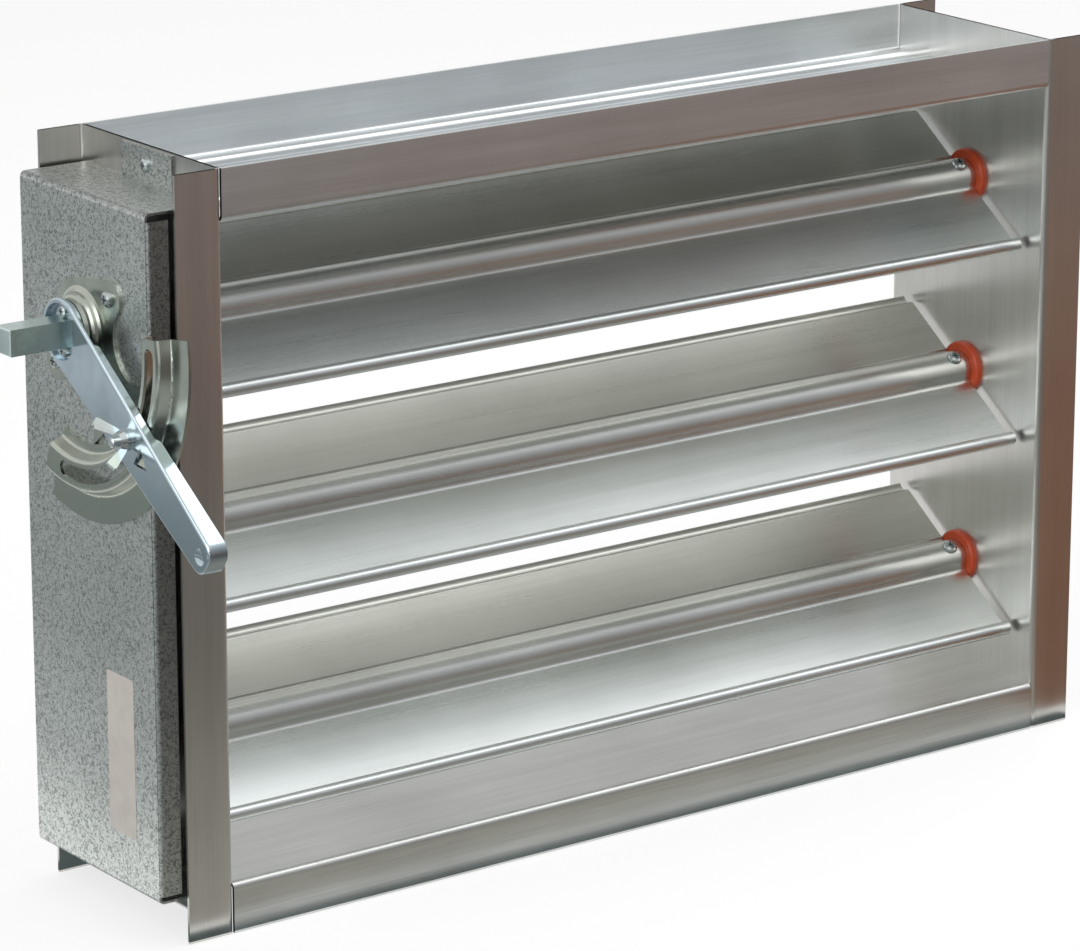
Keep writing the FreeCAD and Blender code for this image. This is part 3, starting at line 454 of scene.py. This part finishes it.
def label():
    """A blank paper label with rounded corners on the lower front of the cover's face."""
    half_length = LABEL_LENGTH / 2
    half_width = LABEL_WIDTH / 2
    corners = [(-half_width, -half_length), (half_width, -half_length)]
    corners += [(half_width, half_length), (-half_width, half_length)]
    work = bmesh.new()
    ring = [work.verts.new((0, LABEL_CENTRE_Y + y, LABEL_CENTRE_Z + z)) for y, z in corners]
    work.faces.new(ring[::-1])
    bmesh.ops.bevel(work, geom=ring, offset=LABEL_CORNER, segments=4, affect="VERTICES", profile=0.5)
    raised = bmesh.ops.extrude_face_region(work, geom=work.faces[:])
    moved = [part for part in raised["geom"] if isinstance(part, bmesh.types.BMVert)]
    bmesh.ops.translate(work, verts=moved, vec=(-LABEL_SHEET, 0, 0))
    bmesh.ops.recalc_face_normals(work, faces=work.faces[:])
    mesh = bpy.data.meshes.new("cover_label")
    work.to_mesh(mesh)
    work.free()
    mesh.materials.append(label_paper("label_paper"))
    piece = placed("cover_label", mesh)
    piece.location.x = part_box("linkage_cover")[0].x - LABEL_GAP
    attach(piece, "frame")


# Studio

def seen_by_eye(owner):
    """1 for rays from the camera, off metal or through glass."""
    path = shader(owner, "LightPath").outputs
    total = math_of(owner, "ADD", path["Is Camera Ray"], path["Is Glossy Ray"])
    return math_of(owner, "ADD", total, path["Is Transmission Ray"], clamp=True)


def floor_material():
    """Pale for the object's light, white with a shadow for the eye, and clear from below."""
    material = bare_material("studio_floor")
    pale = shader(material, "BsdfDiffuse", {"Color": FLOOR_PALE}).outputs[0]
    dim = shader(material, "BsdfDiffuse", {"Color": FLOOR_SHADED}).outputs[0]
    glow = shader(material, "Emission", {"Color": WHITE, "Strength": FLOOR_GLOW}).outputs[0]
    seen = shader(material, "AddShader", {0: dim, 1: glow}).outputs[0]
    above = shader(material, "MixShader", {0: seen_by_eye(material), 1: pale, 2: seen}).outputs[0]
    clear = shader(material, "BsdfTransparent").outputs[0]
    below = shader(material, "NewGeometry").outputs["Backfacing"]
    surface = shader(material, "MixShader", {0: below, 1: above, 2: clear}).outputs[0]
    shader(material, "OutputMaterial", {"Surface": surface})
    return material


def studio_floor():
    """A pale floor that shows white and keeps the object's shadow."""
    work = bmesh.new()
    bmesh.ops.create_circle(work, cap_ends=True, segments=96, radius=FLOOR_RADIUS)
    mesh = bpy.data.meshes.new("studio_floor")
    work.to_mesh(mesh)
    work.free()
    mesh.materials.append(floor_material())
    floor = placed("studio_floor", mesh)
    floor.location = (0, 0, FLOOR - FLOOR_GAP)


def studio_world():
    """A white surround that lights the object softly."""
    world = bpy.data.worlds.new("studio")
    bpy.context.scene.world = world
    world.use_nodes = True
    world.node_tree.nodes.clear()
    soft = shader(world, "Background", {"Color": WHITE, "Strength": ROOM_LIGHT}).outputs[0]
    white = shader(world, "Background", {"Color": WHITE, "Strength": 1.0}).outputs[0]
    surface = shader(world, "MixShader", {0: seen_by_eye(world), 1: soft, 2: white}).outputs[0]
    shader(world, "OutputWorld", {"Surface": surface})


def painted_reflection_card(name, corners, axis, near, far):
    """A glowing card that only shows in the metal, a painted reflection like a studio's flags give, with a
    colour at two places.
    """
    material = bare_material(name)
    where = axis_of(material, shader(material, "TexCoord").outputs["Object"], axis)
    along = remap(material, where, (near[0], far[0]), (0.0, 1.0))
    colour = mix_colour(material, along, near[1], far[1])
    glow = shader(material, "Emission", {"Color": colour, "Strength": 1.0}).outputs[0]
    shader(material, "OutputMaterial", {"Surface": glow})
    mesh = bpy.data.meshes.new(name)
    mesh.from_pydata(corners, [], [(0, 1, 2, 3)])
    mesh.materials.append(material)
    card = placed(name, mesh)
    card.visible_camera = False
    card.visible_diffuse = False
    card.visible_shadow = False


def level_card(name, x, y, lift, axis, near, far):
    """A card that lies just over the floor."""
    low = FLOOR + lift
    corners = [(x[0], y[0], low), (x[1], y[0], low), (x[1], y[1], low), (x[0], y[1], low)]
    painted_reflection_card(name, corners, axis, near, far)


def upright_card(name, x, y, z, near, far):
    """A card that stands in front of the object or behind it."""
    corners = [(x[0], y, z[0]), (x[1], y, z[0]), (x[1], y, z[1]), (x[0], y, z[1])]
    painted_reflection_card(name, corners, "Z", near, far)


def soft_light(name, spot, size, power, in_metal):
    """A square soft light aimed at the object, seen in the metal or not."""
    data = bpy.data.lights.new(name, "AREA")
    data.shape = "SQUARE"
    data.size = size
    data.energy = power
    lamp = placed(name, data)
    lamp.location = spot
    lamp.visible_glossy = in_metal
    lamp.rotation_euler = (-Vector(spot)).to_track_quat("-Z", "Y").to_euler()


def studio_camera():
    """The photograph's view."""
    data = bpy.data.cameras.new("camera")
    data.lens = CAMERA_LENS
    data.sensor_width = CAMERA_SENSOR
    camera = placed("camera", data)
    camera.location = CAMERA_PLACE
    level = math.cos(CAMERA_ELEVATION)
    back_x = math.sin(CAMERA_AZIMUTH) * level
    back_y = -math.cos(CAMERA_AZIMUTH) * level
    back = Vector((back_x, back_y, math.sin(CAMERA_ELEVATION)))
    camera.rotation_euler = back.to_track_quat("Z", "Y").to_euler()
    bpy.context.scene.camera = camera


finishes()
label()
studio_floor()
studio_world()
for card_name, sheet in LEVEL_CARDS.items():
    level_card(card_name, **sheet)
for card_name, sheet in UPRIGHT_CARDS.items():
    upright_card(card_name, **sheet)
for light_name, light in LIGHTS.items():
    soft_light(light_name, **light)
studio_camera()
bpy.context.scene.view_settings.view_transform = "Standard"
